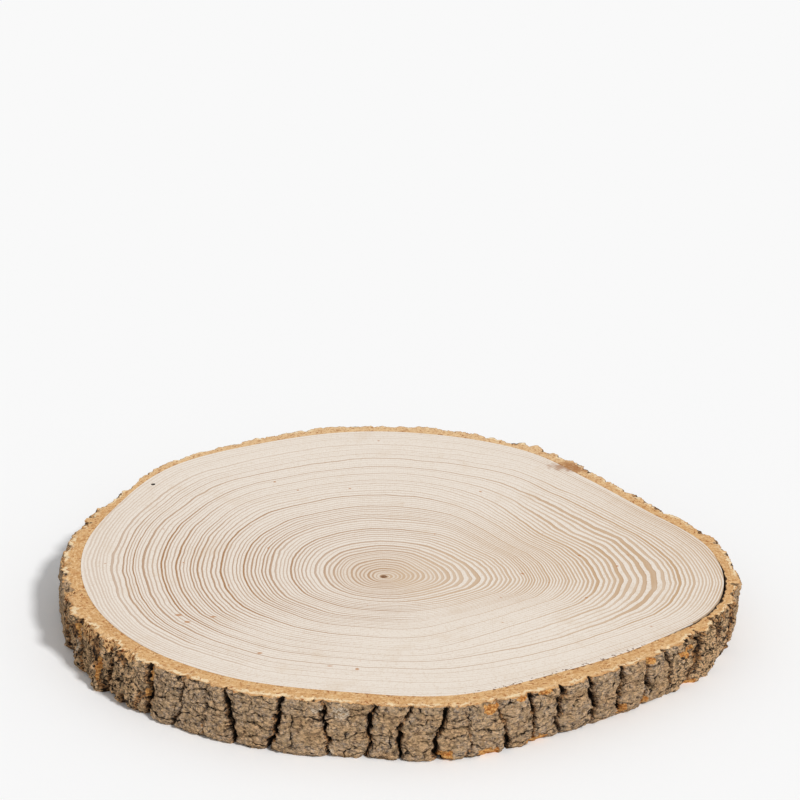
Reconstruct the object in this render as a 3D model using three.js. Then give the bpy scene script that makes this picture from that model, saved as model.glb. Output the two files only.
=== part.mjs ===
// A slice sawn across a tree trunk: a disc of pale, ringed wood with its furrowed bark still on.
// Millimetres, +Z up. The origin is on the surface that the slice lies on, under its middle.
// Angles are in degrees, from +X towards +Y, seen from above.
import * as THREE from "three";

// Driving dimensions
const THICKNESS = 34; // from saw cut to saw cut
const WOOD_RADII = [
  186, 162, 157, 167, 173, 179, 181, 188, 184, 187, 187, 185, 180, 174, 178, 174, 182, 195,
]; // from the middle to the edge of the wood, every 20 degrees
const BARK_THICKNESS = [7, 9.5, 9.5, 10.5, 8, 6.5, 11, 13, 12, 12, 13, 10]; // every 30 degrees
const CAMBIUM_GAP = 0.3; // the seam all round between wood and bark
const LOOSE_BARK = { at: 340, reach: 22, size: 1.6 }; // where drying bark has lifted off the wood
const BROKEN_FOOT = { at: 318, reach: 60, size: 7 }; // where the foot of the bark has broken away

// Furrows of the front, each as its angle at the upper cut, its angle at the lower cut and its width
const FRONT_FURROWS = [
  [196, 198.5, 3],
  [206.5, 206, 3.5],
  [217, 215, 4.5],
  [226.5, 225.5, 7],
  [234, 231, 4],
  [238, 236.5, 3],
  [241, 243, 5.5],
  [251, 248.5, 4.5],
  [257.5, 258.5, 4],
  [266, 264.5, 5.5],
  [271.5, 270, 4.5],
  [277.5, 276, 5.5],
  [281.5, 281.5, 3],
  [286.5, 288.5, 5],
  [292.5, 293.5, 4.5],
  [297.5, 298.5, 5],
  [303.5, 305.5, 5],
  [309.5, 311.5, 4.5],
  [315, 317, 3.5],
  [319.5, 322.5, 4.5],
  [327, 329, 4],
  [333.5, 337, 5],
  [344, 346.5, 4],
];
// Furrows of the back follow a seeded rule between the ends of the front's list
const BACK_FURROWS = { from: -9, to: 190, pitch: 7, jitter: 3, lean: 3, widthMin: 3, widthSpan: 3 };
const SEED = 41;

// Relief of the bark
const DEPTH_PER_WIDTH = 0.6; // a furrow's depth grows with its width
const DEPTH_MIN = 2.5;
const INNER_BARK = 2.5; // the least bark left under a furrow's floor
const FLOOR_SHARE = 0.3; // of a furrow's width that its floor takes
const SHOULDER_SHARE = 0.15; // of a furrow's depth that its shoulders lie down
const SWAY = 0.7; // degrees that a furrow wanders to each side
const PLATE_LIFT = 1.1; // most that one plate stands above or below the next
const PLATE_TILT = 0.8; // most that a plate's upper end leans out
const CROWN = 1.2; // how far a plate's sides fall away from its middle
const EDGE_WEAR = 1.2; // bark lost along both saw cuts

// Mesh fineness
const PLATE_COLUMNS = [0.18, 0.5, 0.82]; // across each plate, between its two furrows
const ROWS = [0, 0.07, 0.28, 0.5, 0.72, 0.93, 1]; // up the side, as shares of the thickness
const WOOD_SIDES = 180;

const radians = THREE.MathUtils.degToRad;
const lerp = THREE.MathUtils.lerp;

// Repeatable numbers from 0 to 1
function seededRandom(seed) {
  let state = seed;
  return () => {
    state = (Math.imul(state, 1664525) + 1013904223) >>> 0;
    return state / 2 ** 32;
  };
}

// A smooth closed curve through values that are evenly spaced round a full turn
function around(values, degrees) {
  const place = (((degrees % 360) + 360) % 360) * (values.length / 360);
  const start = Math.floor(place);
  const t = place - start;
  const [a, b, c, d] = [-1, 0, 1, 2].map((k) => values[(start + k + values.length) % values.length]);
  const slope = (c - a) / 2;
  const bend = a - 2.5 * b + 2 * c - d / 2;
  const twist = (d - a) / 2 + 1.5 * (b - c);
  return b + t * (slope + t * (bend + t * twist));
}

// A feature that swells to its full size at one angle and fades to nothing within its reach
function swelling({ at, reach, size }, degrees) {
  const away = ((((degrees - at) % 360) + 540) % 360) - 180;
  return Math.abs(away) < reach ? size * Math.cos((away / reach) * (Math.PI / 2)) ** 2 : 0;
}

const woodRadius = (degrees) => around(WOOD_RADII, degrees);
const barkInnerRadius = (degrees) => woodRadius(degrees) + CAMBIUM_GAP + swelling(LOOSE_BARK, degrees);

// The bark's outside without its furrows, lower down where its foot has broken away
function barkOuterRadius(degrees, share) {
  const broken = swelling(BROKEN_FOOT, degrees) * (1 - share) ** 2;
  return woodRadius(degrees) + around(BARK_THICKNESS, degrees) - broken;
}

// Every furrow in order of angle, with the plate of bark that follows it
function makeFurrows() {
  const random = seededRandom(SEED);
  const spread = (size) => (random() * 2 - 1) * size;
  const { from, to, pitch, jitter, lean, widthMin, widthSpan } = BACK_FURROWS;
  const count = Math.round((to - from) / pitch);
  const back = Array.from({ length: count }, (_, i) => {
    const upper = from + ((to - from) * (i + 0.5)) / count + spread(jitter / 2);
    return [upper, upper + spread(lean / 2), widthMin + random() * widthSpan];
  });
  return [...back, ...FRONT_FURROWS].map(([upper, lower, width]) => ({
    upper,
    lower,
    width,
    sway: spread(SWAY),
    phase: random(),
    lift: spread(PLATE_LIFT),
    tilt: spread(PLATE_TILT),
  }));
}

// Where a furrow runs at a share of the height
function furrowAngle({ upper, lower, sway, phase }, share) {
  return lerp(lower, upper, share) + sway * Math.sin(2 * Math.PI * (share + phase));
}

// Half of a furrow's width, as a turn about the middle of the slice
function halfFurrow(furrow, share) {
  const radius = barkOuterRadius(furrowAngle(furrow, share), share);
  return THREE.MathUtils.radToDeg(furrow.width / 2 / radius);
}

// The columns of points that go up the bark's side: four for each furrow and the rest across its plate
function makeColumns(furrows) {
  return furrows.flatMap((furrow, i) => {
    const next = furrows[(i + 1) % furrows.length];
    const turn = i + 1 === furrows.length ? 360 : 0;
    const wall = (offset, depthShare) => ({
      angle: (share) => furrowAngle(furrow, share) + offset * halfFurrow(furrow, share),
      relief: () => -depthShare * (DEPTH_MIN + DEPTH_PER_WIDTH * furrow.width),
    });
    const across = (place) => ({
      angle: (share) => {
        const start = furrowAngle(furrow, share) + halfFurrow(furrow, share);
        const end = furrowAngle(next, share) + turn - halfFurrow(next, share);
        return lerp(start, end, place);
      },
      relief: (share) => {
        const crown = CROWN * (0.5 - (2 * place - 1) ** 2);
        return furrow.lift + furrow.tilt * (2 * share - 1) + crown;
      },
    });
    const walls = [
      wall(-1, SHOULDER_SHARE),
      wall(-FLOOR_SHARE, 1),
      wall(FLOOR_SHARE, 1),
      wall(1, SHOULDER_SHARE),
    ];
    return [...walls, ...PLATE_COLUMNS.map(across)];
  });
}

// A ring of furrowed bark as one closed mesh, woven from loops of points that all have one point a column
function barkGeometry() {
  const columns = makeColumns(makeFurrows());
  const point = (degrees, radius, height) => [
    radius * Math.cos(radians(degrees)),
    radius * Math.sin(radians(degrees)),
    height,
  ];
  const outerLoop = (share) =>
    columns.map((column) => {
      const degrees = column.angle(share);
      const wear = share === 0 || share === 1 ? EDGE_WEAR : 0;
      const radius = barkOuterRadius(degrees, share) + column.relief(share) - wear;
      const least = barkInnerRadius(degrees) + INNER_BARK;
      return point(degrees, Math.max(radius, least), share * THICKNESS);
    });
  const innerLoop = (share) =>
    columns.map((column) => {
      const degrees = column.angle(share);
      return point(degrees, barkInnerRadius(degrees), share * THICKNESS);
    });
  const loops = [...ROWS.map(outerLoop), innerLoop(1), innerLoop(0)];
  const count = columns.length;
  const faces = [];
  loops.forEach((_, row) => {
    const above = (row + 1) % loops.length;
    for (let i = 0; i < count; i++) {
      const [a, b] = [row * count + i, row * count + ((i + 1) % count)];
      const [c, d] = [above * count + ((i + 1) % count), above * count + i];
      faces.push(a, b, c, a, c, d);
    }
  });
  const geometry = new THREE.BufferGeometry();
  geometry.setAttribute("position", new THREE.Float32BufferAttribute(loops.flat(2), 3));
  geometry.setIndex(faces);
  geometry.computeVertexNormals();
  return geometry;
}

// The disc of wood, flat on both saw cuts
function woodGeometry() {
  const edge = Array.from({ length: WOOD_SIDES }, (_, i) => {
    const degrees = (i * 360) / WOOD_SIDES;
    const radius = woodRadius(degrees);
    return new THREE.Vector2(radius * Math.cos(radians(degrees)), radius * Math.sin(radians(degrees)));
  });
  return new THREE.ExtrudeGeometry(new THREE.Shape(edge), { depth: THICKNESS, bevelEnabled: false });
}

function piece(name, geometry, colour, roughness) {
  const material = new THREE.MeshStandardMaterial({ color: colour, roughness, metalness: 0 });
  const mesh = new THREE.Mesh(geometry, material);
  mesh.name = name;
  return mesh;
}

const slice = new THREE.Group();
slice.add(piece("wood_disc", woodGeometry(), 0xe6dacb, 0.7));
slice.add(piece("bark_ring", barkGeometry(), 0x7d6a52, 0.95));

export default slice;
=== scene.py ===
import math

import bpy
import numpy as np
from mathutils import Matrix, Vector, noise
from mathutils.bvhtree import BVHTree


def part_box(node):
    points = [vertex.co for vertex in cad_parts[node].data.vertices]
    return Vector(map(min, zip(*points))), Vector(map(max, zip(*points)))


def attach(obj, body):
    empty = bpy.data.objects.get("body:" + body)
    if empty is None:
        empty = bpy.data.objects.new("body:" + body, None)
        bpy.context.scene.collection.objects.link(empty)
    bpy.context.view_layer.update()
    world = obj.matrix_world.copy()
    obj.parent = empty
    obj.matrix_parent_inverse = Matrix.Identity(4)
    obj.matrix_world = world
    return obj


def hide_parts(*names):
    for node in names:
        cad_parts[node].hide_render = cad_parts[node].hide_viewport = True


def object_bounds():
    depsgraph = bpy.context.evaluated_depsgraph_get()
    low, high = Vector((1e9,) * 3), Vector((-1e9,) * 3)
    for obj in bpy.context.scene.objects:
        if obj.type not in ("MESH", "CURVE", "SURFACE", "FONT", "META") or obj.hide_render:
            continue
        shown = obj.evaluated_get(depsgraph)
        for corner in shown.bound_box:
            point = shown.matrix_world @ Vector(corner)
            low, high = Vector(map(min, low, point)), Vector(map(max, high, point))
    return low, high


# A slice sawn across a tree trunk, in metres: the disc of ringed wood and the furrowed bark round it.
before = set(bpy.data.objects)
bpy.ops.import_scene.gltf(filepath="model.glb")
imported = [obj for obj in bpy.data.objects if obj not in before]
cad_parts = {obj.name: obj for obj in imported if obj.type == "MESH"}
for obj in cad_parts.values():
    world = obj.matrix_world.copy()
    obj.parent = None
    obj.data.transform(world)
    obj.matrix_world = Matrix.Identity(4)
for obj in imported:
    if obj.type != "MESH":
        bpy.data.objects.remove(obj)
cad_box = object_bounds()

MM = 0.001
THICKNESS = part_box("wood_disc")[1].z
TURN = 2 * math.pi
CLOSE = 0.1 * MM  # points nearer to a face than this count as lying on it
MERGE = 0.002 * MM  # points nearer to each other than this become one

# The wood
PITH = Vector((-8, -36)) * MM
WOOD_SPOKES = 480
WOOD_LOOPS = 44
RING_COUNT = 76
SURGE_LENGTH = 0.56  # of the way out, over which the narrow end grew fast and then slowly
SURGE_SIZE = 0.045
# Corners of the growth rings: angle from the pith, reach to each side and size as a share of the way out
RING_CORNERS = [(357.5, 17, 0.03), (343, 15, 0.022), (20, 16, 0.012), (205, 20, 0.012), (150, 18, 0.012)]
PALE_HEADING = (0.2, -1, 0)  # from the pith, where the rings are faintest
BACK_HEADING = (-0.05, 1, 0)  # where they are narrow lines
FRINGE_HEADING = (0.64, -0.77, 0)  # where crumbs of bark cling to the edge of the wood
INSECT_HOLE = Vector((-154, 93.5, 34)) * MM
HOLE_SIZE = Vector((1.4, 1.6, 5)) * MM
HOLE_SIDES = 16
HOLE_RINGS = 24
KNOT = (113, 120, 34)  # mm, a stain beside the bark
# Brown specks on the wood: place in mm, half length and half width
WOOD_SPECKS = [
    ((-75.4, -128.7, 34), 1.6, 1.0),
    ((-21.9, -146.8, 34), 1.2, 1.4),
    ((-36.6, -143.5, 34), 2.0, 0.8),
    ((-124.0, -83.8, 34), 2.4, 1.6),
    ((-118.2, -92.3, 34), 1.6, 1.2),
    ((-104.0, -86.0, 34), 2.2, 1.2),
    ((128.9, -21.9, 34), 1.2, 1.4),
]

# The bark
BARK_COLUMNS = 1680
BARK_ROWS = 50
SAWN_LOOPS = 6  # across the upper saw cut
LOWER_LOOPS = 2
PLATE_WINDOW = 7 * MM  # to each side, over which the plates' own face is found under the furrows
LEAST_BARK = 1.6 * MM
LOOSE_FROM = 0.35 * MM  # a seam wider than this in the frame is bark that has lifted off the wood
SEAM = 0.04 * MM
GIRTH_RADIUS = 190 * MM  # of the even cylinder that the bark is laid out on
SECTION_HALF = 10 * MM  # of the width of the plain section that the bark is turned from
COLUMN_PITCH = TURN * GIRTH_RADIUS / BARK_COLUMNS
ROW_PITCH = THICKNESS / BARK_ROWS
EDGE_SHARE = 0.012  # of the height, kept away from the cuts when the frame's bark is read
LEVEL_CRACK_PITCH = 6.5  # mm between the cracks that run along a plate
UPRIGHT_CRACKS = 110  # cracks that run up the plates, all round

# Places where a flake has broken off and shows orange: angle, height, half width and half height
BROKEN_FLAKES = [
    (285.3, 29.5, 5.0, 3.2),
    (277.8, 3.5, 5.0, 4.0),
    (285.1, 2.0, 8.0, 3.6),
    (294.4, 2.0, 7.0, 3.2),
    (311.3, 5.0, 4.0, 4.0),
    (316.5, 4.0, 4.0, 2.5),
    (327.9, 1.0, 5.0, 2.0),
    (324.7, 27.0, 6.5, 4.0),
    (316.2, 31.5, 3.0, 2.2),
    (290.5, 32.5, 3.5, 1.6),
    (295.0, 32.8, 4.5, 1.6),
    (227.0, 28.0, 1.6, 4.5),
    (225.5, 14.0, 1.6, 5.0),
    (213.5, 18.0, 1.8, 10.0),
    (205.5, 24.0, 2.2, 7.0),
    (201.0, 14.0, 1.6, 7.0),
    (57.0, 20.0, 5.0, 3.5),
    (101.0, 3.0, 6.0, 3.0),
    (141.0, 30.0, 4.5, 3.0),
    (172.0, 12.0, 4.0, 4.0),
    (20.0, 4.0, 5.5, 3.0),
]
# Whitish patches of lichen and bare fibre, and places of the rim that are frayed, in the same way
PALE_PATCHES = [
    (260.8, 28.0, 4.5, 4.5),
    (258.9, 2.5, 2.0, 3.5),
    (256.6, 28.0, 4.0, 2.0),
    (205.0, 16.0, 4.0, 5.0),
    (120.0, 15.0, 5.0, 6.0),
    (38.0, 26.0, 5.0, 4.0),
]
FRAYED_RIM = [
    (209.5, 32.0, 9.0, 8.0),
    (216.0, 33.0, 5.0, 5.0),
    (221.5, 33.5, 6.0, 3.0),
    (197.0, 34.0, 5.0, 3.0),
    (184.0, 34.0, 8.0, 2.0),
    (152.0, 34.0, 6.0, 3.0),
]
# Stretches where the bark is crumbly, in the same way
ROUGH_STRETCHES = [
    (211, 17, 50, 40),
    (333, 17, 42, 40),
    (160, 17, 40, 40),
    (62, 17, 45, 40),
]
# Stretches of the upper cut's edge that are broken away: angle, reach and how far in
BITTEN_STRETCHES = [
    (195.5, 3, 4.0),
    (186, 14, 0.6),
    (212, 16, 0.8),
    (168, 12, 0.2),
    (335, 22, 0.2),
    (334.2, 1.6, 4.5),
    (328, 1.2, 3.5),
    (10, 25, -0.2),
]

# The studio
FLOOR_SIZE = 12
SKY_STRENGTH = 0.5
SUN_TOWARDS = (-0.62, 0.8, -0.9)
SUN_STRENGTH = 2.3
SUN_SOFTNESS = math.radians(9)
CAMERA_PLACE = (0.001414, -1.355966, 0.697986)
CAMERA_TILT = math.radians(67.292)  # up from straight down
LENS_LENGTH = 113.92
LENS_FRAME = 36

WOOD_CREASE = math.radians(30)  # edges sharper than this stay sharp
BARK_CREASE = math.radians(50)


def smooth(low, high, value):
    """0 below low, 1 above high and an easy rise between them."""
    t = np.clip((value - low) / (high - low), 0, 1)
    return t * t * (3 - 2 * t)


def select_edges(piece, wanted):
    """Leaves only those edges selected, in edit mode, whose two ends both pass the test."""
    bpy.ops.object.mode_set(mode="EDIT")
    bpy.ops.mesh.select_mode(type="EDGE")
    bpy.ops.mesh.select_all(action="DESELECT")
    bpy.ops.object.mode_set(mode="OBJECT")
    points = piece.data.vertices
    for edge in piece.data.edges:
        edge.select = all(wanted(points[i].co) for i in edge.vertices)
    bpy.ops.object.mode_set(mode="EDIT")


def cut_edges(piece, wanted, cuts):
    select_edges(piece, wanted)
    bpy.ops.mesh.subdivide(number_cuts=cuts)


def upright_section(name, inner, outer):
    """A slice's section on one side of the axis: a rectangle of four edges, standing on the ground."""
    bpy.ops.object.select_all(action="DESELECT")
    bpy.ops.mesh.primitive_plane_add(size=1)
    piece = bpy.context.object
    piece.name = name
    bpy.ops.object.mode_set(mode="EDIT")
    bpy.ops.mesh.delete(type="ONLY_FACE")
    bpy.ops.mesh.select_all(action="SELECT")
    bpy.ops.transform.rotate(value=math.pi / 2, orient_axis="X", center_override=(0, 0, 0))
    bpy.ops.transform.resize(value=(outer - inner, 1, THICKNESS), center_override=(0, 0, 0))
    bpy.ops.transform.translate(value=((outer + inner) / 2, 0, THICKNESS / 2))
    return piece


def turn_section(piece, steps):
    """Turns the section once round the axis and closes it into a body."""
    bpy.ops.object.mode_set(mode="OBJECT")
    turn = piece.modifiers.new("turn", "SCREW")
    turn.steps = turn.render_steps = steps
    turn.use_merge_vertices = True
    turn.merge_threshold = MERGE
    bpy.ops.object.modifier_apply(modifier=turn.name)
    bpy.ops.object.mode_set(mode="EDIT")
    bpy.ops.mesh.select_all(action="SELECT")
    bpy.ops.mesh.remove_doubles(threshold=MERGE)
    bpy.ops.mesh.normals_make_consistent(inside=False)
    bpy.ops.object.mode_set(mode="OBJECT")


def points_of(piece):
    flat = np.zeros(len(piece.data.vertices) * 3)
    piece.data.vertices.foreach_get("co", flat)
    return flat.reshape(-1, 3)


def set_points(piece, points):
    piece.data.vertices.foreach_set("co", points.astype(np.float32).ravel())
    piece.data.update()


def store(piece, name, values):
    """Keeps one number a point, for the finish to read."""
    attribute = piece.data.attributes.new(name, "FLOAT", "POINT")
    attribute.data.foreach_set("value", np.asarray(values, np.float32))


# The frame's own outlines


def surface_of(node):
    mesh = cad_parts[node].data
    return BVHTree.FromPolygons([v.co for v in mesh.vertices], [p.vertices for p in mesh.polygons])


def reach_out(surface, start, angle, height):
    """How far the surface is from a point of the plan, going straight out at an angle."""
    out = Vector((math.cos(angle), math.sin(angle), 0))
    hit = surface.ray_cast(Vector((start.x, start.y, height)), out)[0]
    return (hit.xy - start).length


def reach_in(surface, angle, height):
    """How far from the origin the surface is, coming straight in from outside."""
    out = Vector((math.cos(angle), math.sin(angle), 0))
    far = 2 * cad_box[1].x
    hit = surface.ray_cast(out * far + Vector((0, 0, height)), -out)[0]
    return hit.xy.length


# The wood


def make_wood():
    surface = surface_of("wood_disc")
    rim = [reach_out(surface, PITH, TURN * i / WOOD_SPOKES, THICKNESS / 2) for i in range(WOOD_SPOKES)]
    radius = float(np.mean(rim))
    piece = upright_section("wood", 0, radius)
    select_edges(piece, lambda p: p.x < MM)
    bpy.ops.mesh.delete(type="EDGE")
    for height in (0, THICKNESS):
        cut_edges(piece, lambda p: abs(p.z - height) < CLOSE, WOOD_LOOPS - 1)
    turn_section(piece, WOOD_SPOKES)

    points = points_of(piece)
    angle = np.arctan2(points[:, 1], points[:, 0]) % TURN
    spoke = np.round(angle / TURN * WOOD_SPOKES).astype(int) % WOOD_SPOKES
    points[:, :2] = np.array(PITH) + points[:, :2] * (np.array(rim)[spoke] / radius)[:, None]
    set_points(piece, points)
    drill_insect_hole(piece)

    points = points_of(piece)
    off = points[:, :2] - np.array(PITH)
    angle = np.arctan2(off[:, 1], off[:, 0]) % TURN
    reach = np.interp(angle, np.arange(WOOD_SPOKES + 1) * TURN / WOOD_SPOKES, rim + rim[:1])
    share = np.hypot(off[:, 0], off[:, 1]) / reach
    growth = share.copy()
    for at, corner_reach, size in RING_CORNERS:
        away = np.abs((np.degrees(angle) - at + 180) % 360 - 180)
        growth -= size * np.clip(1 - away / corner_reach, 0, 1) * smooth(0.05, 0.45, share)
    store(piece, "growth", growth)
    inside = (points[:, 2] > CLOSE) & (points[:, 2] < THICKNESS - 0.01 * MM) & (share < 0.99)
    store(piece, "hole", inside)
    return piece


def drill_insect_hole(piece):
    bpy.ops.object.select_all(action="DESELECT")
    bpy.ops.mesh.primitive_uv_sphere_add(
        segments=HOLE_SIDES, ring_count=HOLE_RINGS, location=INSECT_HOLE, scale=HOLE_SIZE
    )
    drill = bpy.context.object
    bpy.context.view_layer.objects.active = piece
    boolean = piece.modifiers.new("insect_hole", "BOOLEAN")
    boolean.object = drill
    boolean.operation = "DIFFERENCE"
    boolean.solver = "EXACT"
    bpy.ops.object.modifier_apply(modifier=boolean.name)
    bpy.data.objects.remove(drill)


# The bark


def bark_places():
    """The bark's side over columns and rows, in millimetres, on an even cylinder for noise to read."""
    angles = [TURN * c / BARK_COLUMNS for c in range(BARK_COLUMNS)]
    heights = [THICKNESS / MM * r / BARK_ROWS for r in range(BARK_ROWS + 1)]
    girth = GIRTH_RADIUS / MM
    return [[Vector((girth * math.cos(a), girth * math.sin(a), h)) for h in heights] for a in angles]


PLACES = bark_places()


def lumps(across, up, shift=0.0):
    """Even noise from -1 to 1 over the bark's side, with lumps of that size in millimetres."""
    size = Vector((1 / across, 1 / across, 1 / up))
    off = Vector((shift, 0, shift))
    return np.array([[noise.noise(place * size + off) for place in column] for column in PLACES])


def rim_lumps(across, shift):
    """The same along one edge of the bark, as one number a column."""
    off = Vector((0, 0, shift))
    return np.array([[noise.noise(column[0] / across + off)] for column in PLACES])


def crumbs(size, shift=0.0):
    """Rough noise with finer and finer lumps."""
    off = Vector((shift, 0, shift))
    fade, step, times = 0.8, 2.1, 4
    return np.array([
        [noise.fractal(place / size + off, fade, step, times) for place in column] for column in PLACES
    ])


def line_lumps(lines, across, shift):
    """Noise along a set of numbered lines, different from line to line."""
    scale = 1 / across

    def lump(place, line):
        return noise.noise(Vector((place.x * scale, place.y * scale, 3.7 * line + shift)))

    return np.array([[lump(place, line) for place, line in zip(*pair)] for pair in zip(PLACES, lines)])


def blurred(table, reach):
    """A table over columns and rows, averaged over a square of neighbours."""
    steps = range(-reach, reach + 1)
    along = np.mean([np.roll(table, k, axis=0) for k in steps], axis=0)
    wide = np.pad(along, ((0, 0), (reach, reach)), "edge")
    rows = table.shape[1]
    return np.mean([wide[:, reach + k : reach + k + rows] for k in steps], axis=0)


def read_between(table, column, row):
    """A table over columns and rows, read between its entries."""
    row = np.clip(row, 0, BARK_ROWS - 1e-6)
    c0, r0 = np.floor(column).astype(int), np.floor(row).astype(int)
    tc, tr = column - c0, row - r0
    c1 = (c0 + 1) % BARK_COLUMNS
    c0 = c0 % BARK_COLUMNS
    lower = table[c0, r0] * (1 - tc) + table[c1, r0] * tc
    upper = table[c0, r0 + 1] * (1 - tc) + table[c1, r0 + 1] * tc
    return lower * (1 - tr) + upper * tr


def frame_bark(surface):
    """From the frame's bark: the face of its plates, and how deep its furrows lie below that."""
    shares = [min(max(r / BARK_ROWS, EDGE_SHARE), 1 - EDGE_SHARE) for r in range(BARK_ROWS + 1)]
    heights = [THICKNESS * share for share in shares]
    angles = [TURN * c / BARK_COLUMNS for c in range(BARK_COLUMNS)]
    skin = np.array([[reach_in(surface, angle, height) for height in heights] for angle in angles])
    window = round(PLATE_WINDOW / COLUMN_PITCH)
    face = np.max([np.roll(skin, k, axis=0) for k in range(-window, window + 1)], axis=0)
    face = np.mean([np.roll(face, k, axis=0) for k in range(-window, window + 1)], axis=0)
    return face, np.clip(face - skin, 0, None) / MM


def spots(rows, ragged):
    """How far each place lies inside any of a list of spots, from 0 to 1."""
    angle = np.degrees(TURN) / BARK_COLUMNS * np.arange(BARK_COLUMNS)[:, None]
    height = THICKNESS / MM / BARK_ROWS * np.arange(BARK_ROWS + 1)[None, :]
    inside = np.zeros((BARK_COLUMNS, BARK_ROWS + 1))
    for at, up, half_width, half_height in rows:
        away = np.radians((angle - at + 180) % 360 - 180) * GIRTH_RADIUS / MM
        reach = np.hypot(away / half_width, (height - up) / half_height) + ragged
        inside = np.maximum(inside, 1 - smooth(0.8, 1.05, reach))
    return inside


def bark_relief(surface):
    """The bark's side over columns and rows: its radius, and what its finish needs to know."""
    face, depth = frame_bark(surface)
    column, row = np.indices(face.shape)
    height = THICKNESS / MM * row / BARK_ROWS
    below_cut = THICKNESS / MM - height
    fine = lumps(2.2, 1.9, 4)

    # Furrows zigzag, narrow, close and open again: a shallow dip with a dark slit at its bottom
    wander = 1.9 * lumps(13, 9) + 1.0 * np.tanh(3 * lumps(6, 4.5, 7)) + 0.9 * lumps(2.0, 1.8, 3)
    slide = 2.0 * lumps(6, 6, 11)
    deep = read_between(depth, column + wander * MM / COLUMN_PITCH, row + slide * MM / ROW_PITCH)
    shallow = 0.38 * np.minimum(deep, 2.8)
    wedge = 0.24 * np.clip(deep - 2.8, 0, None)
    slit = deep - 5.0 + 1.1 * lumps(3.2, 4.2, 19) + 1.3 * lumps(10, 7, 23) + 1.2 * lumps(1.6, 1.5, 29)
    slit -= 1.3 * (1 - smooth(0, 4, below_cut))
    in_slit = smooth(-0.2, 0.5, slit)
    slit_depth = in_slit * (0.7 + 3.6 * smooth(0, 5, below_cut))

    # Plates crack across and flake into layers
    layers = height / LEVEL_CRACK_PITCH + 1.1 * lumps(28, 70, 40) + 0.6 * lumps(9, 7, 41)
    layers += 0.22 * lumps(2.6, 2.4, 42)
    uprights = UPRIGHT_CRACKS * column / BARK_COLUMNS + 0.5 * lumps(11, 12, 44) + 0.14 * lumps(2.4, 2.6, 45)
    layer = np.floor(layers)
    layer_open = smooth(-0.2, 0.25, line_lumps(np.round(layers), 9, 0.5))
    upright_open = smooth(0.0, 0.35, lumps(9, 6, 47))
    level_crack = crack_field(layers, LEVEL_CRACK_PITCH, layer_open)
    upright_crack = crack_field(uprights, TURN * GIRTH_RADIUS / MM / UPRIGHT_CRACKS, upright_open)
    grooves = 0.8 * (1 - smooth(0.0, 0.8, np.abs(level_crack)))
    grooves += 0.6 * (1 - smooth(0.0, 0.8, np.abs(upright_crack)))

    # Crumbly stretches break up into upright ridges
    rugged = blurred(spots(ROUGH_STRETCHES, 0.0), 12)
    blocks = lumps(12, 45, 71) + 0.12 * lumps(3, 5, 72)
    ridges = 2.2 * np.tanh(5 * blocks) + 1.1 * lumps(3.4, 9, 51) + 1.0 * crumbs(3.0, 9)
    between = rugged * (1 - smooth(0.03, 0.13, np.abs(blocks)))
    wedge = np.maximum(wedge, 1.1 * between)
    slit = np.maximum(slit, 1.8 * between - 1.7 + 1.2 * lumps(1.6, 2.2, 73))
    relief = 0.9 * line_lumps(layer, 13, 0.2) - grooves + 0.5 * lumps(8, 7, 12)
    relief += 0.8 * crumbs(5.0) + 0.6 * fine + 0.5 * lumps(1.3, 1.2, 8) + rugged * ridges
    crumbly = 1.1 * fine + 0.7 * lumps(1.4, 1.4, 5)
    rough = smooth(0.4, 1.3, wedge)
    relief = 0.6 + relief * (1 - rough) + crumbly * rough
    relief -= 1.1 * (1 - smooth(0, 3, height))
    cavity = relief - blurred(relief, 3)

    # Flakes are lost along the cuts and here and there
    chips_and_glints = [np.clip(2.0 * rim_lumps(9, s) + 0.9 * rim_lumps(2.6, s), 0, None) for s in (5, 17)]
    lost = np.clip(chips_and_glints[0] - below_cut, 0, None) + np.clip(chips_and_glints[1] - height, 0, None)
    broken = spots(BROKEN_FLAKES, 0.5 * fine) * (1 - in_slit)
    pale = spots(PALE_PATCHES, 0.6 * fine)
    frayed = spots(FRAYED_RIM, 0.6 * fine)
    relief -= 0.8 * lost + 0.9 * broken + 0.7 * frayed
    cut_edge = 0.4 + np.clip(1.2 * rim_lumps(6, 31) + 0.9 * rim_lumps(1.7, 3), 0, None) + 0.5 * chips_and_glints[0]
    sawn = np.clip(1 - below_cut / cut_edge, 0, 1)
    return {
        "radius": face + (relief - shallow - wedge - slit_depth) * MM,
        "furrow": wedge,
        "slit": slit,
        "cavity": cavity,
        "level_crack": level_crack,
        "upright_crack": upright_crack,
        "broken": broken,
        "pale": pale,
        "rugged": rugged,
        "frayed": frayed,
        "sawn": sawn,
    }


def crack_field(lines, pitch, opening):
    """Millimetres from the nearest whole-numbered line, with a sign, and more where the line has closed."""
    return np.clip(np.sin(math.pi * lines) * pitch / math.pi / np.maximum(opening, 0.02), -9, 9)


def bites():
    """How far in from its edge the upper cut is broken away, in millimetres, as one number a column."""
    angle = np.degrees(TURN) / BARK_COLUMNS * np.arange(BARK_COLUMNS)
    torn = np.full(BARK_COLUMNS, -1.5)
    for at, reach, most in BITTEN_STRETCHES:
        away = np.abs((angle - at + 180) % 360 - 180)
        torn = np.maximum(torn, most - (most + 1.5) * smooth(0.5 * reach, reach, away))
    return torn + (5.5 * rim_lumps(7, 61) + 2.5 * rim_lumps(2.2, 62))[:, 0]


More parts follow.
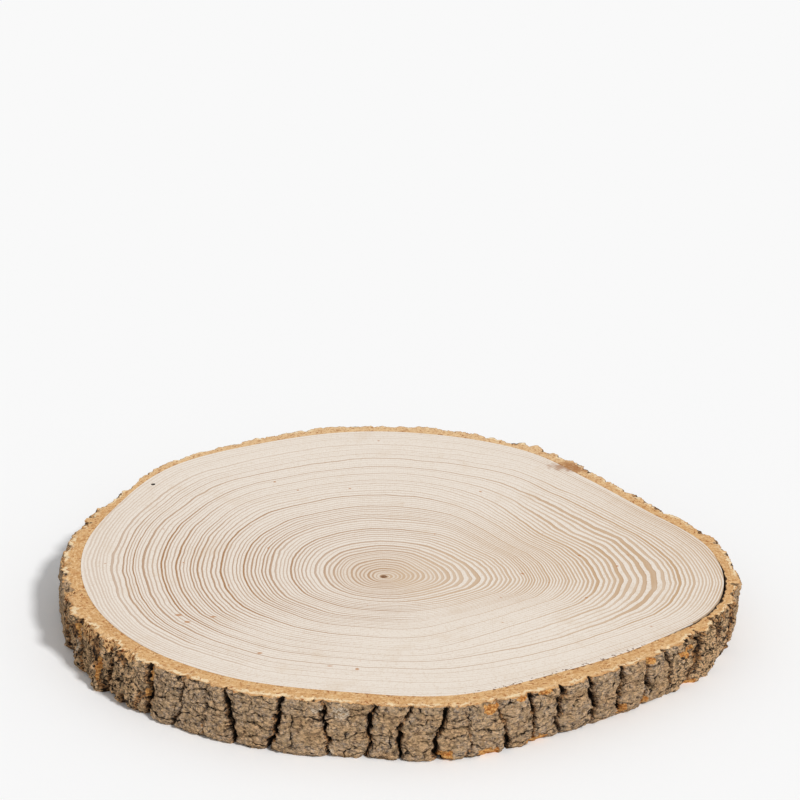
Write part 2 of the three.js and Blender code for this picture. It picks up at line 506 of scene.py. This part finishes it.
def bark_inner_radii(bark_surface, wood_surface):
    """The bark's inner radii, against the wood except where the frame has it lifted, and its lift."""
    radii, loose = np.zeros(BARK_COLUMNS), np.zeros(BARK_COLUMNS)
    for c in range(BARK_COLUMNS):
        angle = TURN * c / BARK_COLUMNS
        wood_radius = reach_out(wood_surface, Vector((0, 0)), angle, THICKNESS / 2)
        start = Vector((math.cos(angle), math.sin(angle))) * (wood_radius + 0.5 * SEAM)
        gap = reach_out(bark_surface, start, angle, THICKNESS / 2)
        ragged = 1 + 0.5 * noise.noise(PLACES[c][0] / 3) + 0.3 * noise.noise(PLACES[c][0] / 11)
        loose[c] = max(0.0, gap - LOOSE_FROM) * ragged
        radii[c] = wood_radius + SEAM + loose[c]
    return radii, loose / MM


def make_bark():
    surface = surface_of("bark_ring")
    inner, loose = bark_inner_radii(surface, surface_of("wood_disc"))
    relief = bark_relief(surface)
    relief["radius"] = np.maximum(relief["radius"], inner[:, None] + LEAST_BARK)

    near, far = GIRTH_RADIUS - SECTION_HALF, GIRTH_RADIUS + SECTION_HALF
    piece = upright_section("bark", near, far)
    cut_edges(piece, lambda p: p.x > far - CLOSE, BARK_ROWS - 1)
    cut_edges(piece, lambda p: p.z > THICKNESS - CLOSE, SAWN_LOOPS - 1)
    cut_edges(piece, lambda p: p.z < CLOSE, LOWER_LOOPS - 1)
    turn_section(piece, BARK_COLUMNS)

    points = points_of(piece)
    angle = np.arctan2(points[:, 1], points[:, 0]) % TURN
    column = np.round(angle / TURN * BARK_COLUMNS).astype(int) % BARK_COLUMNS
    row = np.round(points[:, 2] / THICKNESS * BARK_ROWS).astype(int)
    across = np.clip((np.hypot(points[:, 0], points[:, 1]) - near) / (far - near), 0, 1)
    radius = inner[column] + across * (relief["radius"][column, row] - inner[column])
    points[:, 0] = radius * np.cos(TURN * column / BARK_COLUMNS)
    points[:, 1] = radius * np.sin(TURN * column / BARK_COLUMNS)
    bitten = bites()[column] - (1 - across) * (relief["radius"][column, row] - inner[column]) / MM
    for i in np.flatnonzero(row == BARK_ROWS):
        spot = Vector(points[i]) / MM
        torn = 0.12 + 0.1 * noise.noise(spot / 3.0) + 0.12 * noise.noise(spot / 1.1)
        torn += across[i] ** 3 * max(0.0, 0.9 * noise.noise(spot / 2.3))
        torn += 1.4 * smooth(-0.2, 1.0, bitten[i])
        points[i, 2] -= torn * MM
    set_points(piece, points)

    store(piece, "across", across)
    store(piece, "loose", loose[column])
    store(piece, "bitten", np.where(row == BARK_ROWS, bitten, -9))
    sawn = np.where(across < 1 - 1e-4, 1.0, relief.pop("sawn")[column, row])
    store(piece, "sawn", sawn)
    del relief["radius"]
    for name, table in relief.items():
        store(piece, name, table[column, row])
    return piece


# Finishes


class Finish:
    """A material, with short calls for the shader nodes that it is made from."""

    def __init__(self, name):
        self.material = bpy.data.materials.new(name)
        self.material.use_nodes = True
        self.tree = self.material.node_tree
        self.shader = self.tree.nodes["Principled BSDF"]

    def node(self, kind, inputs, **settings):
        made = self.tree.nodes.new(kind)
        for name, value in settings.items():
            setattr(made, name, value)
        for key, value in inputs.items():
            self.put(made.inputs[key], value)
        return made

    def put(self, socket, value):
        if isinstance(value, bpy.types.NodeSocket):
            self.tree.links.new(value, socket)
        else:
            socket.default_value = value

    def kept(self, name):
        return self.node("ShaderNodeAttribute", {}, attribute_name=name).outputs["Fac"]

    def place(self, scale=(1, 1, 1)):
        """The place on the piece in millimetres, stretched."""
        per_mm = [s / MM for s in scale]
        return self.node("ShaderNodeMapping", {"Vector": self.spot(), "Scale": per_mm}).outputs["Vector"]

    def spot(self):
        return self.node("ShaderNodeTexCoord", {}).outputs["Object"]

    def vector(self, operation, a, b=(0, 0, 0), result="Vector"):
        return self.node("ShaderNodeVectorMath", {0: a, 1: b}, operation=operation).outputs[result]

    def patch(self, middle, length, width, ragged, most):
        """How far a place lies inside a ragged oval of the upper cut, up to most."""
        off = self.vector("SUBTRACT", self.place(), middle)
        off = self.vector("MULTIPLY", off, (1 / length, 1 / width, 0))
        reach = self.vector("LENGTH", off, result="Value")
        reach = self.math("MULTIPLY_ADD", ragged, 1.6, reach)
        return self.rise(reach, 2.0, 1.3, 0.0, most)

    def noise_along(self, value, scale):
        inputs = {"W": value, "Scale": scale, "Detail": 1.0}
        return self.node("ShaderNodeTexNoise", inputs, noise_dimensions="1D").outputs["Fac"]

    def flakes(self, place, scale, crooked):
        """Crooked patches: a chance value for each, and how far a place is from the edge of its patch."""
        twist = self.node("ShaderNodeTexNoise", {"Vector": place, "Scale": 2 * scale}).outputs["Color"]
        inputs = {0: twist, 1: (crooked,) * 3, 2: place}
        bent = self.node("ShaderNodeVectorMath", inputs, operation="MULTIPLY_ADD").outputs[0]
        inputs = {"Vector": bent, "Scale": scale}
        patch = self.node("ShaderNodeTexVoronoi", inputs).outputs["Color"]
        edge = self.node("ShaderNodeTexVoronoi", inputs, feature="DISTANCE_TO_EDGE").outputs["Distance"]
        return self.node("ShaderNodeSeparateColor", {0: patch}).outputs[0], edge

    def luck(self, number):
        """A chance value from 0 to 1, the same for the same number."""
        return self.node("ShaderNodeTexWhiteNoise", {"W": number}, noise_dimensions="1D").outputs["Value"]

    def math(self, operation, a, b=0.5, c=0.5):
        return self.node("ShaderNodeMath", {0: a, 1: b, 2: c}, operation=operation).outputs[0]

    def noise(self, vector, scale, detail=3.0, roughness=0.55, **more):
        inputs = {"Vector": vector, "Scale": scale, "Detail": detail, "Roughness": roughness, **more}
        return self.node("ShaderNodeTexNoise", inputs).outputs["Fac"]

    def rise(self, value, low, high, start=0.0, end=1.0):
        """start below low, end above high and an easy change between them."""
        inputs = {"Value": value, "From Min": low, "From Max": high, "To Min": start, "To Max": end}
        return self.node("ShaderNodeMapRange", inputs, interpolation_type="SMOOTHSTEP").outputs["Result"]

    def mix(self, share, a, b, blend="MIX"):
        inputs = {0: share, 6: a, 7: b}
        return self.node("ShaderNodeMix", inputs, data_type="RGBA", blend_type=blend).outputs[2]

    def blend(self, share, a, b):
        return self.node("ShaderNodeMix", {0: share, 2: a, 3: b}).outputs[0]

    def bump(self, height, distance, strength=1.0, under=None):
        inputs = {"Height": height, "Distance": distance, "Strength": strength}
        if under is not None:
            inputs["Normal"] = under
        return self.node("ShaderNodeBump", inputs).outputs["Normal"]


def tone(red, green, blue):
    """A colour as it looks on a screen, from 0 to 255, for a shader."""
    channels = [c / 255 for c in (red, green, blue)]
    linear = [c / 12.92 if c <= 0.04045 else ((c + 0.055) / 1.055) ** 2.4 for c in channels]
    return (*linear, 1.0)


def wood_finish():
    f = Finish("sawn_wood")
    place = f.place()
    growth = f.kept("growth")
    wobble = f.noise(place, 0.022, 2.0)
    ripple = f.noise(place, 0.14, 2.0)
    pace = f.noise_along(growth, 9.0)
    off_pith = f.vector("ADD", f.spot(), (-PITH.x, -PITH.y, 0))
    heading = f.vector("NORMALIZE", f.vector("MULTIPLY", off_pith, (1, 1, 0)))
    endward = f.rise(f.vector("DOT_PRODUCT", heading, (1, 0, 0), "Value"), 0.1, 0.9)
    surge = f.math("SINE", f.math("MULTIPLY", f.math("SUBTRACT", growth, 1.0), TURN / SURGE_LENGTH))
    surge = f.math("MULTIPLY", surge, f.rise(growth, 0.05, 0.4, 0.0, SURGE_SIZE))
    years = f.math("MULTIPLY_ADD", surge, endward, growth)
    years = f.math("MULTIPLY", years, RING_COUNT)
    years = f.math("MULTIPLY_ADD", wobble, 2.2, years)
    years = f.math("MULTIPLY_ADD", ripple, 0.3, years)
    years = f.math("MULTIPLY_ADD", pace, f.blend(endward, 3.0, 1.2), years)
    season = f.math("FRACT", years)
    luck = f.luck(f.math("FLOOR", years))

    # The two ends of the egg shape grew with broader tan bands than the front between them
    frontward = f.vector("DOT_PRODUCT", heading, PALE_HEADING, "Value")
    frontward = f.math("MULTIPLY", frontward, f.rise(growth, 0.1, 0.6))
    patchy = f.noise(place, 0.016, 3.0)
    frontward = f.math("MULTIPLY_ADD", f.math("SUBTRACT", patchy, 0.5), 1.0, frontward)
    broad = f.rise(frontward, 0.95, 0.25)
    backward = f.vector("DOT_PRODUCT", heading, BACK_HEADING, "Value")
    backward = f.math("MULTIPLY_ADD", f.math("SUBTRACT", patchy, 0.5), 0.6, backward)
    narrow = f.math("MULTIPLY", f.rise(backward, 0.3, 1.0), f.rise(growth, 0.15, 0.75, 0.0, 0.9))
    broad = f.math("MULTIPLY", broad, f.math("SUBTRACT", 1.0, narrow))
    outer = f.rise(growth, 0.86, 0.95)
    start = f.math("MULTIPLY_ADD", luck, -0.25, f.blend(broad, 0.84, f.blend(endward, 0.62, 0.5)))
    band = f.rise(season, start, f.math("ADD", start, 0.12))
    band = f.math("MULTIPLY", band, f.rise(season, 1.0, 0.94))
    faint = f.math("MULTIPLY_ADD", f.math("POWER", luck, 4.0), 0.8, 0.2)
    bold = f.blend(luck, f.blend(endward, 0.55, 0.7), f.blend(endward, 1.15, 0.95))
    strength = f.blend(broad, faint, bold)
    strength = f.math("MULTIPLY", strength, f.rise(growth, 1.0, 0.98))
    strength = f.math("MULTIPLY", strength, f.blend(outer, 1.0, f.blend(endward, 0.3, 0.85)))
    strength = f.math("MULTIPLY", strength, f.rise(growth, 0.1, 0.5, 0.75, 1.0))
    weak_years = f.rise(f.noise_along(growth, 16.0), 0.35, 0.6, f.blend(endward, 0.7, 0.85), 1.0)
    strength = f.math("MULTIPLY", strength, weak_years)
    ring = f.math("MULTIPLY", band, strength)

    cream, tan = tone(239, 228, 215), f.mix(endward, tone(172, 129, 90), tone(198, 162, 122))
    colour = f.mix(ring, cream, tan)
    late = f.math("MULTIPLY", f.rise(season, 0.8, 0.9), f.rise(season, 1.0, 0.95))
    colour = f.mix(f.math("MULTIPLY", f.math("MULTIPLY", late, strength), 0.45), colour, tone(172, 132, 96))
    colour = f.mix(f.rise(growth, 0.25, 0.02, 0.0, 0.3), colour, tone(200, 164, 124))
    colour = f.mix(f.rise(growth, 0.013, 0.008), colour, tone(128, 88, 56))
    pores = f.noise(place, 0.9, 2.0)
    colour = f.mix(f.rise(pores, 0.5, 0.66, 0.0, 0.3), colour, tone(206, 180, 152))
    stain = f.rise(f.noise(place, 0.05, 3.0), 0.55, 0.75, 0.0, 0.25)
    colour = f.mix(stain, colour, tone(216, 192, 164))
    speck = f.noise(place, 0.2, 1.0)
    colour = f.mix(f.rise(speck, 0.775, 0.82, 0.0, 0.75), colour, tone(186, 122, 66))
    flank = f.rise(f.vector("DOT_PRODUCT", heading, FRINGE_HEADING, "Value"), 0.88, 0.97)
    crumb = f.rise(f.noise(place, 0.6, 1.0), 0.58, 0.63)
    fringe = f.math("MULTIPLY", f.rise(growth, 0.984, 0.99), crumb)
    fringe = f.math("MULTIPLY", fringe, flank)
    colour = f.mix(f.math("MULTIPLY", fringe, 0.75), colour, tone(110, 68, 36))
    for middle, length, width in WOOD_SPECKS:
        colour = f.mix(f.patch(middle, length, width, ripple, 0.8), colour, tone(188, 128, 74))
    colour = f.mix(f.patch(KNOT, 16, 7, speck, 0.75), colour, tone(168, 116, 72))
    # The insect hole's walls are painted near-black: painted shade
    colour = f.mix(f.kept("hole"), colour, tone(18, 11, 7))
    f.put(f.shader.inputs["Base Color"], colour)

    wave = {"Scale": 0.28, "Distortion": 1.2, "Detail": 2.0, "Detail Scale": 0.4}
    wave["Vector"] = f.place((0.97, 0.24, 0))
    saw = f.node("ShaderNodeTexWave", wave).outputs["Fac"]
    grain = f.noise(place, 2.4, 3.0)
    normal = f.bump(saw, 0.06 * MM, 0.35)
    normal = f.bump(grain, 0.12 * MM, 0.6, normal)
    normal = f.bump(ring, 0.08 * MM, 0.5, normal)
    f.put(f.shader.inputs["Normal"], normal)
    f.put(f.shader.inputs["Roughness"], f.blend(ring, 0.62, 0.74))
    f.shader.inputs["Specular IOR Level"].default_value = 0.25
    return f.material


def bark_finish():
    f = Finish("furrowed_bark")
    place = f.place()
    flat_place = f.place((1, 1, 1.4))
    patchy = f.noise(flat_place, 0.06, 3.0)
    mottle = f.noise(flat_place, 0.34, 4.0, 0.7)
    grains = f.noise(flat_place, 0.6, 2.0, 0.7)
    rugged = f.kept("rugged")
    layers = f.noise(f.place((0.6, 0.6, 1.4)), 0.66, 2.0, 0.65)
    # How strongly the speckles of painted shade and painted highlight show, stronger in the crumbly
    # stretches
    painted_speck_strength = f.noise(flat_place, 0.14, 2.0)
    painted_speck_strength = f.rise(painted_speck_strength, 0.4, 0.6, f.blend(rugged, 0.3, 0.7), f.blend(rugged, 0.75, 1.0))

    # The weathered outside: grey and brown flakes and cracks, with crests lightened partly as worn tan and
    # partly as painted highlight, hollows darkened as painted shade, and speckles of painted shade and
    # painted highlight
    flake, flake_edge = f.flakes(f.place((0.7, 0.7, 1.25)), 0.28, 2.2)
    colour = f.mix(f.rise(patchy, 0.46, 0.64), tone(190, 170, 151), tone(200, 159, 119))
    zones = f.rise(f.noise(flat_place, 0.11, 2.0), 0.52, 0.4)
    zones = f.math("MULTIPLY", zones, f.blend(rugged, 0.25, 0.9))
    colour = f.mix(zones, colour, tone(104, 80, 56))
    colour = f.mix(f.rise(flake, 0.45, 0.1, 0.0, f.blend(rugged, 0.35, 0.6)), colour, tone(106, 88, 68))
    colour = f.mix(f.rise(flake, 0.55, 0.9, 0.0, 0.35), colour, tone(214, 178, 140))
    colour = f.mix(f.rise(mottle, 0.52, 0.62, 0.0, f.blend(rugged, 0.3, 0.45)), colour, tone(216, 180, 142))
    colour = f.mix(f.rise(mottle, 0.47, 0.36, 0.0, f.blend(rugged, 0.3, 0.6)), colour, tone(98, 76, 54))
    cavity = f.kept("cavity")
    # Crests lighter, partly worn tan and partly painted highlight; hollows darker as painted shade
    colour = f.mix(f.rise(cavity, 0.1, 0.7, 0.0, 0.55), colour, tone(230, 190, 147))
    colour = f.mix(f.rise(cavity, -0.08, -0.65, 0.0, f.blend(rugged, 0.8, 0.97)), colour, tone(36, 24, 15))
    # Fine speckles of painted shade and painted highlight, for the shadows and lit tops of tiny lumps
    shade = f.math("MULTIPLY", f.rise(grains, 0.46, 0.39), painted_speck_strength)
    glint = f.math("MULTIPLY", f.rise(grains, 0.54, 0.6), painted_speck_strength)
    colour = f.mix(f.math("MULTIPLY", shade, 0.95), colour, tone(34, 22, 14))
    colour = f.mix(f.math("MULTIPLY", glint, 0.95), colour, tone(252, 208, 154))
    colour = f.mix(f.rise(layers, 0.46, 0.4, 0.0, f.blend(rugged, 0.65, 0.75)), colour, tone(48, 35, 24))
    colour = f.mix(f.rise(layers, 0.54, 0.6, 0.0, f.blend(rugged, 0.5, 0.6)), colour, tone(242, 203, 158))
    chink = f.math("MULTIPLY", f.rise(flake_edge, 0.07, 0.02), f.rise(mottle, 0.56, 0.44))
    colour = f.mix(f.math("MULTIPLY", chink, 0.55), colour, tone(36, 24, 15))
    # In the crumbly stretches: dark specks of painted shade and pale specks of painted highlight
    pepper = f.noise(place, 0.46, 2.0, 0.7)
    painted_pit_shade = f.math("MULTIPLY", f.rise(pepper, 0.47, 0.43), f.rise(rugged, 0.2, 0.8, 0.3, 0.95))
    chips_and_glints = f.math("MULTIPLY", f.rise(pepper, 0.54, 0.57), f.rise(rugged, 0.2, 0.8, 0.25, 0.9))
    colour = f.mix(painted_pit_shade, colour, tone(30, 20, 12))
    colour = f.mix(chips_and_glints, colour, tone(238, 193, 144))
    ember = f.math("MULTIPLY", f.rise(f.noise(place, 0.5, 2.0), 0.69, 0.74), 0.7)
    colour = f.mix(ember, colour, tone(204, 148, 92))
    level = f.rise(f.math("ABSOLUTE", f.kept("level_crack")), 0.5, 0.2)
    upright = f.rise(f.math("ABSOLUTE", f.kept("upright_crack")), 0.44, 0.16)
    crack = f.math("MAXIMUM", level, upright)
    colour = f.mix(f.math("MULTIPLY", crack, 0.95), colour, tone(26, 17, 11))

    # Furrows: worn lips, orange-brown walls darkened with painted shade, and a slit painted near-black as
    # shade
    lip = f.math("MULTIPLY_ADD", f.math("SUBTRACT", grains, 0.5), 2.0, f.kept("slit"))
    lip = f.math("MULTIPLY", f.rise(lip, -3.3, -2.6), f.rise(lip, -1.5, -2.1))
    colour = f.mix(f.math("MULTIPLY", lip, 0.4), colour, tone(224, 186, 138))
    # Walls: orange-brown bark with granules of painted shade, spread further in where the furrow is deeper
    wall = f.mix(f.rise(grains, 0.42, 0.58), tone(44, 28, 17), tone(200, 144, 90))
    shaded = f.math("MULTIPLY_ADD", f.math("SUBTRACT", mottle, 0.5), 2.0, f.kept("furrow"))
    colour = f.mix(f.rise(shaded, 0.12, 0.6, 0.0, 0.8), colour, wall)
    # The slit: painted shade, near-black
    slit = f.math("MULTIPLY_ADD", f.math("SUBTRACT", grains, 0.5), 2.5, f.kept("slit"))
    colour = f.mix(f.rise(slit, -0.2, 0.5, 0.0, 0.96), colour, tone(24, 15, 9))

    # Orange cork where a flake has broken off, pale patches and frayed fibre
    cork = f.mix(f.rise(grains, 0.38, 0.62), tone(190, 114, 52), tone(250, 192, 116))
    ragged = f.math("MULTIPLY", f.math("SUBTRACT", mottle, 0.5), 1.6)
    colour = f.mix(f.rise(f.math("ADD", f.kept("broken"), ragged), 0.42, 0.56), colour, cork)
    bare = f.math("MULTIPLY", f.kept("pale"), f.rise(grains, 0.4, 0.55))
    colour = f.mix(f.math("MULTIPLY", bare, 0.85), colour, tone(236, 216, 190))
    strands = f.noise(f.place((1, 1, 0.4)), 0.75, 2.0)
    fibre = f.mix(f.rise(strands, 0.4, 0.52), tone(136, 78, 36), tone(255, 204, 142))
    colour = f.mix(f.rise(f.math("ADD", f.kept("frayed"), ragged), 0.3, 0.5), colour, fibre)

    # The saw cut through the bark: sandy ochre with specks, and a broken pale strip along its outer edge
    across = f.kept("across")
    heading = f.vector("NORMALIZE", f.vector("MULTIPLY", f.spot(), (1, 1, 0)))
    lifted = f.node("ShaderNodeCombineXYZ", {"Z": f.math("MULTIPLY", across, 0.5)}).outputs[0]
    streak = f.noise(f.vector("ADD", heading, lifted), 22.0, 4.0, 0.65)
    ochre = f.mix(f.rise(streak, 0.36, 0.64), tone(208, 158, 102), tone(230, 188, 134))
    backward = f.vector("DOT_PRODUCT", heading, BACK_HEADING, "Value")
    ochre = f.mix(f.rise(backward, 0.2, 0.9, 0.0, 0.45), ochre, tone(238, 208, 166))
    ochre = f.mix(f.patch(KNOT, 20, 9, mottle, 0.8), ochre, tone(164, 108, 62))
    ochre = f.mix(f.rise(grains, 0.46, 0.38, 0.0, 0.6), ochre, tone(184, 126, 74))
    ochre = f.mix(f.rise(grains, 0.56, 0.64, 0.0, 0.45), ochre, tone(246, 216, 172))
    strip = f.math("MULTIPLY_ADD", f.math("SUBTRACT", mottle, 0.5), 0.8, across)
    strip = f.math("MULTIPLY", f.rise(strip, 0.68, 0.78), f.rise(strip, 1.0, 0.9))
    strip = f.math("MULTIPLY", strip, f.rise(f.noise(place, 0.09, 2.0), 0.44, 0.6, 0.1, 0.85))
    ochre = f.mix(strip, ochre, tone(246, 224, 184))
    rim = f.math("MULTIPLY_ADD", f.math("SUBTRACT", grains, 0.5), 0.5, across)
    ochre = f.mix(f.rise(rim, 0.93, 1.02, 0.0, 0.6), ochre, tone(170, 116, 66))
    specks = f.noise(place, 0.55, 2.0, 0.5)
    ochre = f.mix(f.rise(specks, 0.62, 0.67, 0.0, 0.8), ochre, tone(160, 92, 42))
    flank = f.rise(f.vector("DOT_PRODUCT", heading, FRINGE_HEADING, "Value"), 0.84, 0.94)
    seam = f.math("MULTIPLY", f.rise(across, 0.12, 0.04), f.rise(specks, 0.52, 0.58))
    ochre = f.mix(f.math("MULTIPLY", seam, f.blend(flank, 0.25, 0.85)), ochre, tone(112, 70, 38))
    torn = f.math("ADD", f.kept("sawn"), ragged)
    sawn = f.math("MULTIPLY", f.rise(torn, 0.42, 0.58), f.rise(f.kept("furrow"), 1.0, 0.5))
    sawn = f.math("MAXIMUM", sawn, f.rise(across, 0.999, 0.97))
    # Painted shade on the inner edge where the bark has lifted off the wood, for the dark gap
    lifted_gap_shade = f.math("MULTIPLY_ADD", across, -10.0, f.math("MULTIPLY", f.kept("loose"), 1.1))
    lifted_gap_shade = f.math("MULTIPLY_ADD", f.math("SUBTRACT", grains, 0.5), 1.6, lifted_gap_shade)
    ochre = f.mix(f.rise(lifted_gap_shade, 0.0, 0.4, 0.0, 0.95), ochre, tone(50, 31, 18))
    bitten = f.math("MULTIPLY_ADD", f.math("SUBTRACT", grains, 0.5), 3.0, f.kept("bitten"))
    sawn = f.math("MULTIPLY", sawn, f.rise(bitten, 0.3, -0.3))
    colour = f.mix(sawn, colour, ochre)
    f.put(f.shader.inputs["Base Color"], colour)

    crust = f.noise(flat_place, 0.9, 4.0, 0.7)
    crust = f.math("MULTIPLY_ADD", layers, 0.5, crust)
    crust = f.math("MULTIPLY_ADD", flake, 0.35, crust)
    crust = f.math("MULTIPLY_ADD", chink, -0.25, crust)
    relief = f.math("MULTIPLY_ADD", crack, -0.5, crust)
    f.put(f.shader.inputs["Normal"], f.bump(relief, 1.9 * MM, f.blend(sawn, 1.0, 0.25)))
    f.put(f.shader.inputs["Roughness"], f.blend(sawn, 0.92, 0.78))
    f.shader.inputs["Specular IOR Level"].default_value = 0.2
    return f.material


def floor_finish():
    f = Finish("pale_floor")
    f.shader.inputs["Base Color"].default_value = (0.96, 0.96, 0.96, 1)
    f.shader.inputs["Roughness"].default_value = 0.9
    f.shader.inputs["Specular IOR Level"].default_value = 0.0
    return f.material


def dress(piece, node, finish, crease):
    """Gives a piece its finish and puts it in the place of a node of the frame."""
    piece.data.materials.append(finish)
    bpy.ops.object.select_all(action="DESELECT")
    piece.select_set(True)
    bpy.context.view_layer.objects.active = piece
    bpy.ops.object.shade_smooth_by_angle(angle=crease)
    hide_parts(node)
    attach(piece, "root")


# The studio


def make_floor():
    bpy.ops.object.select_all(action="DESELECT")
    bpy.ops.mesh.primitive_plane_add(size=FLOOR_SIZE, location=(0, 0, 0))
    floor = bpy.context.object
    floor.name = "floor"
    floor.data.materials.append(floor_finish())


def make_sun():
    light = bpy.data.lights.new("sun", "SUN")
    light.energy = SUN_STRENGTH
    light.angle = SUN_SOFTNESS
    lamp = bpy.data.objects.new("sun", light)
    lamp.rotation_euler = Vector(SUN_TOWARDS).to_track_quat("-Z", "Y").to_euler()
    bpy.context.scene.collection.objects.link(lamp)


def make_camera():
    lens = bpy.data.cameras.new("camera")
    lens.lens = LENS_LENGTH
    lens.sensor_width = LENS_FRAME
    camera = bpy.data.objects.new("camera", lens)
    camera.location = CAMERA_PLACE
    camera.rotation_euler = (CAMERA_TILT, 0, 0)
    bpy.context.scene.collection.objects.link(camera)
    bpy.context.scene.camera = camera


def make_studio():
    make_floor()
    make_sun()
    make_camera()
    scene = bpy.context.scene
    scene.view_settings.view_transform = "Standard"
    scene.world = bpy.data.worlds.new("white_room")
    scene.world.use_nodes = True
    sky = scene.world.node_tree.nodes["Background"]
    sky.inputs["Color"].default_value = (1, 1, 1, 1)
    sky.inputs["Strength"].default_value = SKY_STRENGTH


wood = make_wood()
dress(wood, "wood_disc", wood_finish(), WOOD_CREASE)
bark = make_bark()
dress(bark, "bark_ring", bark_finish(), BARK_CREASE)
make_studio()
